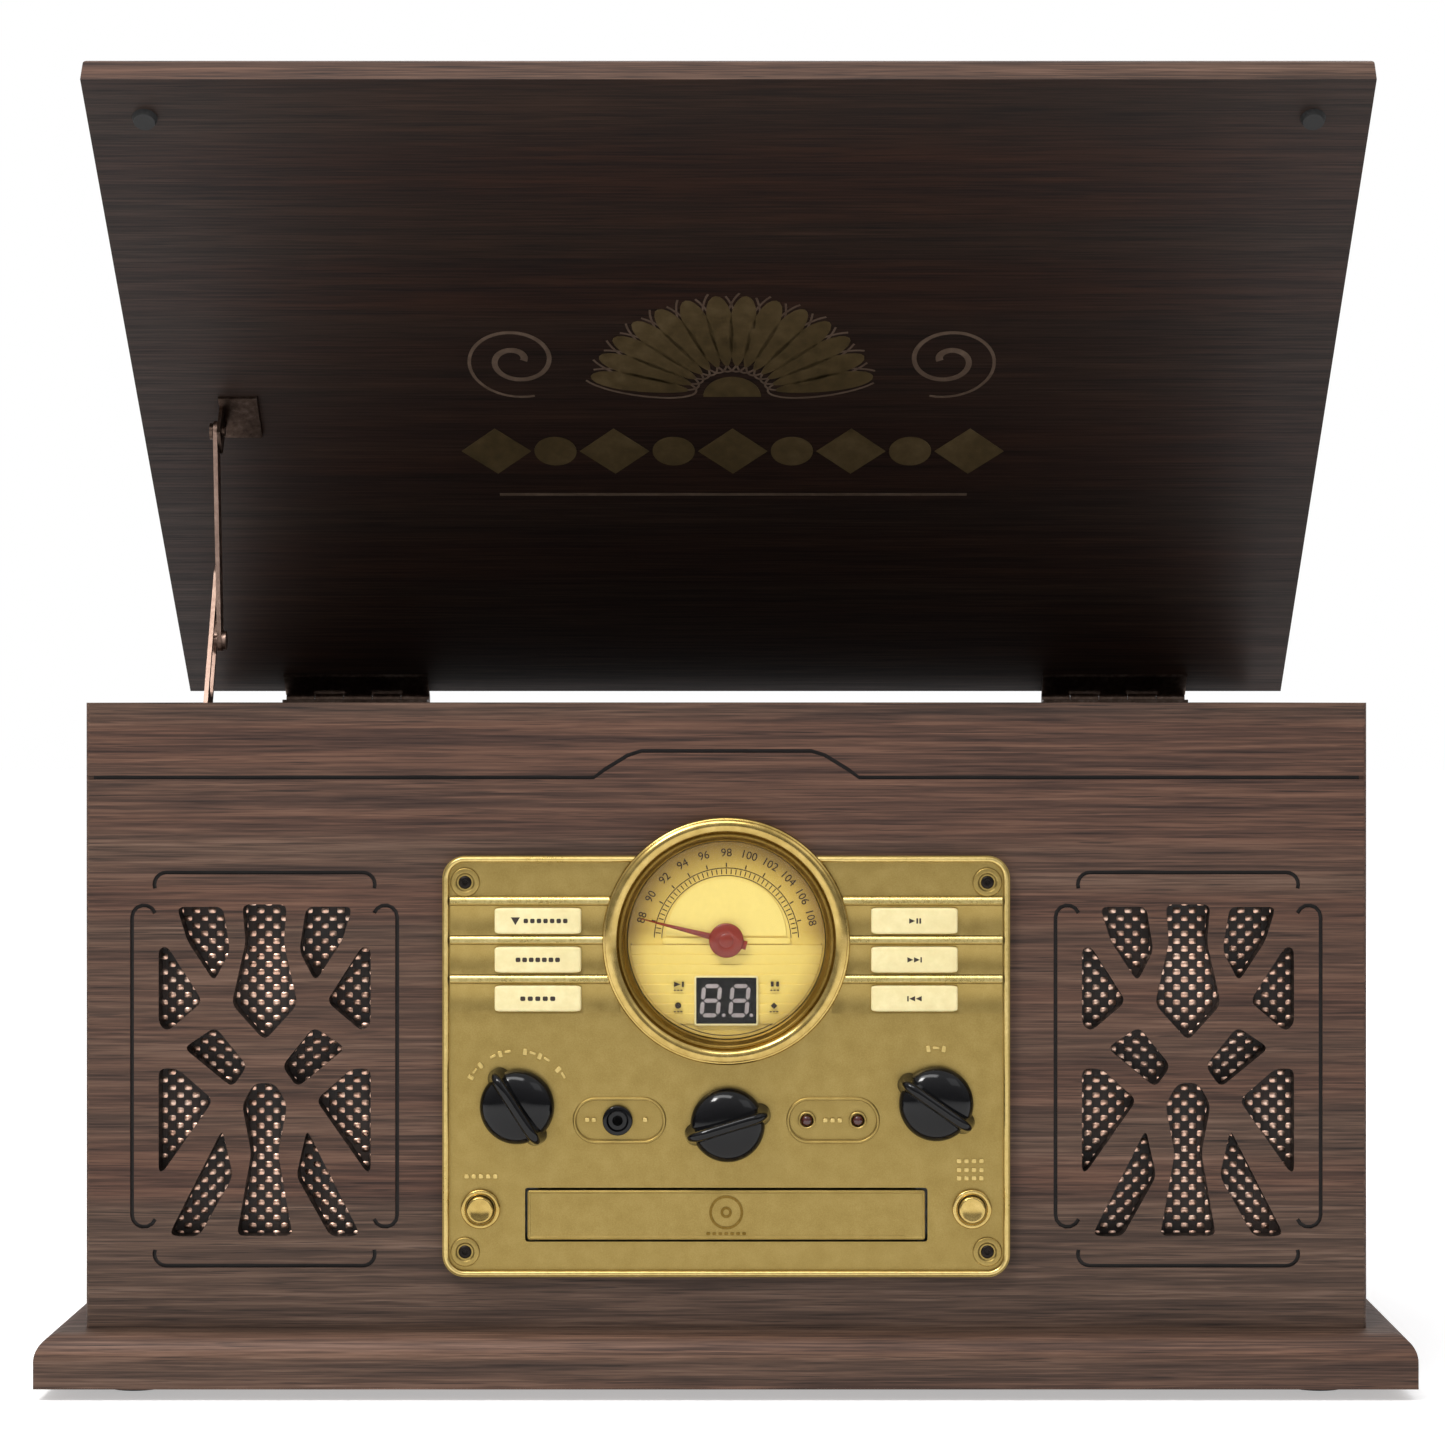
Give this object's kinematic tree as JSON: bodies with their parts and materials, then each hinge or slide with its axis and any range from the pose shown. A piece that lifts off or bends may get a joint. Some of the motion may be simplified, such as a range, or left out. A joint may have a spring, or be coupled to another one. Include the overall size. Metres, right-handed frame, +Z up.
{
  "type": "radio phonograph console",
  "caption": "Table-top radio phonograph in a dark wooden cabinet with a lift-up lid, record deck, disc drawer, round dial, knobs and speakers behind fretwork.",
  "frame": {"origin": "on the supporting surface, under the middle of the object with its lid open", "axes": "+Z up, +X to the right seen from the front, the front faces -Y"},
  "size_m": [0.46, 0.3542, 0.4589],
  "materials": {
    "walnut_foil": "dark walnut wood-grain foil on fibreboard, satin",
    "foot_rubber": "black rubber",
    "gold_plastic": "moulded plastic with a satin gold coat",
    "bright_gold": "plated ring and buttons, polished gold",
    "dark_bronze": "steel with a dark bronze finish",
    "plated_steel": "zinc plated steel",
    "black_plastic": "gloss black moulded plastic",
    "deck_plastic": "textured dark brown plastic",
    "cream_plastic": "cream moulded plastic",
    "dial_print": "printed pale yellow dial",
    "clear_lens": "clear acrylic",
    "pointer_red": "dark red plastic",
    "led_red": "unlit red lens",
    "bronze_mesh": "woven bronze-coloured mesh",
    "basket_paint": "black painted pressed steel",
    "cone_paper": "black paper cone",
    "circuit_board": "green circuit board",
    "lamination": "varnished steel laminations",
    "sheet_steel": "folded sheet steel",
    "cast_aluminium": "machined aluminium",
    "pulley_brass": "turned brass"
  },
  "bodies": {
    "cabinet": {"base_board": "walnut_foil", "rubber_feet": "foot_rubber", "front_panel": "walnut_foil", "left_side_panel": "walnut_foil", "right_side_panel": "walnut_foil", "back_panel": "walnut_foil", "turntable_deck": "deck_plastic", "wood_screws": "dark_bronze", "hinge_cabinet_leaves": "dark_bronze", "hinge_pins": "plated_steel", "stay_cabinet_bracket": "dark_bronze", "control_plate": "gold_plastic", "dial_ring": "bright_gold", "dial_face": "dial_print", "dial_lens": "clear_lens", "display_module": "black_plastic", "indicator_leds": "led_red", "headphone_jack": "black_plastic", "grille_mesh": "bronze_mesh", "speaker_baskets": "basket_paint", "speaker_cones": "cone_paper", "main_circuit_board": "circuit_board", "power_transformer": "lamination", "cd_housing": "sheet_steel", "cd_mechanism": "plated_steel", "knob_controls": "plated_steel", "drive_motor": "plated_steel", "drive_belt": "foot_rubber", "spindle_post": "plated_steel", "tonearm_base": "black_plastic", "tonearm_rest": "black_plastic", "rear_jack_panel": "black_plastic"},
    "lid": {"lid_panel": "walnut_foil", "lid_bumpers": "foot_rubber", "hinge_lid_leaves": "dark_bronze", "stay_lid_bracket": "dark_bronze"},
    "lid_stay_rod": {"stay_rod": "dark_bronze"},
    "lid_stay_arm": {"stay_arm": "dark_bronze"},
    "turntable": {"platter": "cast_aluminium", "platter_mat": "foot_rubber"},
    "pulley": {"motor_pulley": "pulley_brass"},
    "arm_swivel": {"tonearm_yoke": "black_plastic"},
    "tonearm": {"tonearm_tube": "cast_aluminium", "cartridge_shell": "black_plastic"},
    "cue": {"cue_lever": "black_plastic"},
    "selector": {"speed_selector": "black_plastic"},
    "volume": {"volume_knob": "black_plastic"},
    "function": {"function_knob": "black_plastic"},
    "tuning": {"tuning_knob": "black_plastic"},
    "pointer": {"dial_pointer": "pointer_red"},
    "disc_drawer": {"cd_tray": "black_plastic", "cd_drawer_front": "gold_plastic"},
    "key_left_1": {"button_left_1": "cream_plastic"},
    "key_left_2": {"button_left_2": "cream_plastic"},
    "key_left_3": {"button_left_3": "cream_plastic"},
    "key_right_1": {"button_right_1": "cream_plastic"},
    "key_right_2": {"button_right_2": "cream_plastic"},
    "key_right_3": {"button_right_3": "cream_plastic"},
    "round_key_left": {"round_button_left": "bright_gold"},
    "round_key_right": {"round_button_right": "bright_gold"}
  },
  "joints": [
    {"name": "lid_hinge", "type": "hinge", "parent": "cabinet", "child": "lid", "pos_m": [0, 0.17192, 0.23325], "axis": [-1, 0, 0], "range_deg": [-38.7, 0]},
    {"name": "stay_rod_pivot", "type": "hinge", "parent": "lid", "child": "lid_stay_rod", "pos_m": [-0.1982, 0.03268, 0.33615], "axis": [-1, 0, 0], "range_deg": [-22.08, 0]},
    {"name": "stay_arm_pivot", "type": "hinge", "parent": "cabinet", "child": "lid_stay_arm", "pos_m": [-0.201, 0.00362, 0.185], "axis": [-1, 0, 0], "range_deg": [0, 51.93]},
    {"name": "platter_spin", "type": "hinge", "parent": "cabinet", "child": "turntable", "pos_m": [-0.04, 0.00142, 0.19], "axis": [0, 0, 1], "continuous": true},
    {"name": "pulley_spin", "type": "hinge", "parent": "cabinet", "child": "pulley", "pos_m": [0.012, 0.06342, 0.182], "axis": [0, 0, 1], "continuous": true},
    {"name": "tonearm_swing", "type": "hinge", "parent": "cabinet", "child": "arm_swivel", "pos_m": [0.15, 0.07942, 0.206], "axis": [0, 0, 1], "range_deg": [-52, 0]},
    {"name": "tonearm_lift", "type": "hinge", "parent": "arm_swivel", "child": "tonearm", "pos_m": [0.15, 0.07942, 0.206], "axis": [-1, 0, 0], "range_deg": [0, 9]},
    {"name": "cue_lever_pivot", "type": "hinge", "parent": "cabinet", "child": "cue", "pos_m": [0.181, 0.07942, 0.188], "axis": [-1, 0, 0], "range_deg": [0, 40]},
    {"name": "speed_selector_turn", "type": "hinge", "parent": "cabinet", "child": "selector", "pos_m": [0.172, -0.10658, 0.18], "axis": [0, 0, 1], "range_deg": [-30, 30]},
    {"name": "volume_turn", "type": "hinge", "parent": "cabinet", "child": "volume", "pos_m": [-0.07, -0.17008, 0.0967], "axis": [0, -1, 0], "range_deg": [-240, 30]},
    {"name": "function_turn", "type": "hinge", "parent": "cabinet", "child": "function", "pos_m": [0.0005, -0.17008, 0.0907], "axis": [0, -1, 0], "range_deg": [-60, 30]},
    {"name": "tuning_turn", "type": "hinge", "parent": "cabinet", "child": "tuning", "pos_m": [0.0703, -0.17008, 0.0977], "axis": [0, -1, 0], "range_deg": [-303.4, 0]},
    {"name": "pointer_swing", "type": "hinge", "parent": "cabinet", "child": "pointer", "pos_m": [0, -0.16208, 0.1522], "axis": [0, -1, 0], "range_deg": [-151.7, 0]},
    {"name": "drawer_slide", "type": "slide", "parent": "cabinet", "child": "disc_drawer", "axis": [0, -1, 0], "range_m": [0, 0.13]},
    {"name": "button_left_1_press", "type": "slide", "parent": "cabinet", "child": "key_left_1", "axis": [0, 1, 0], "range_m": [0, 0.0015], "stiffness_N_per_m": 500, "springref_m": -0.001},
    {"name": "button_left_2_press", "type": "slide", "parent": "cabinet", "child": "key_left_2", "axis": [0, 1, 0], "range_m": [0, 0.0015], "stiffness_N_per_m": 500, "springref_m": -0.001},
    {"name": "button_left_3_press", "type": "slide", "parent": "cabinet", "child": "key_left_3", "axis": [0, 1, 0], "range_m": [0, 0.0015], "stiffness_N_per_m": 500, "springref_m": -0.001},
    {"name": "button_right_1_press", "type": "slide", "parent": "cabinet", "child": "key_right_1", "axis": [0, 1, 0], "range_m": [0, 0.0015], "stiffness_N_per_m": 500, "springref_m": -0.001},
    {"name": "button_right_2_press", "type": "slide", "parent": "cabinet", "child": "key_right_2", "axis": [0, 1, 0], "range_m": [0, 0.0015], "stiffness_N_per_m": 500, "springref_m": -0.001},
    {"name": "button_right_3_press", "type": "slide", "parent": "cabinet", "child": "key_right_3", "axis": [0, 1, 0], "range_m": [0, 0.0015], "stiffness_N_per_m": 500, "springref_m": -0.001},
    {"name": "round_button_left_press", "type": "slide", "parent": "cabinet", "child": "round_key_left", "axis": [0, 1, 0], "range_m": [0, 0.0015], "stiffness_N_per_m": 500, "springref_m": -0.001},
    {"name": "round_button_right_press", "type": "slide", "parent": "cabinet", "child": "round_key_right", "axis": [0, 1, 0], "range_m": [0, 0.0015], "stiffness_N_per_m": 500, "springref_m": -0.001}
  ],
  "couplings": [
    {"joint": "stay_rod_pivot", "follows": "lid_hinge", "ratio": 0.5703},
    {"joint": "stay_arm_pivot", "follows": "lid_hinge", "ratio": -1.3416},
    {"joint": "pulley_spin", "follows": "platter_spin", "ratio": 12},
    {"joint": "pointer_swing", "follows": "tuning_turn", "ratio": 0.5}
  ]
}
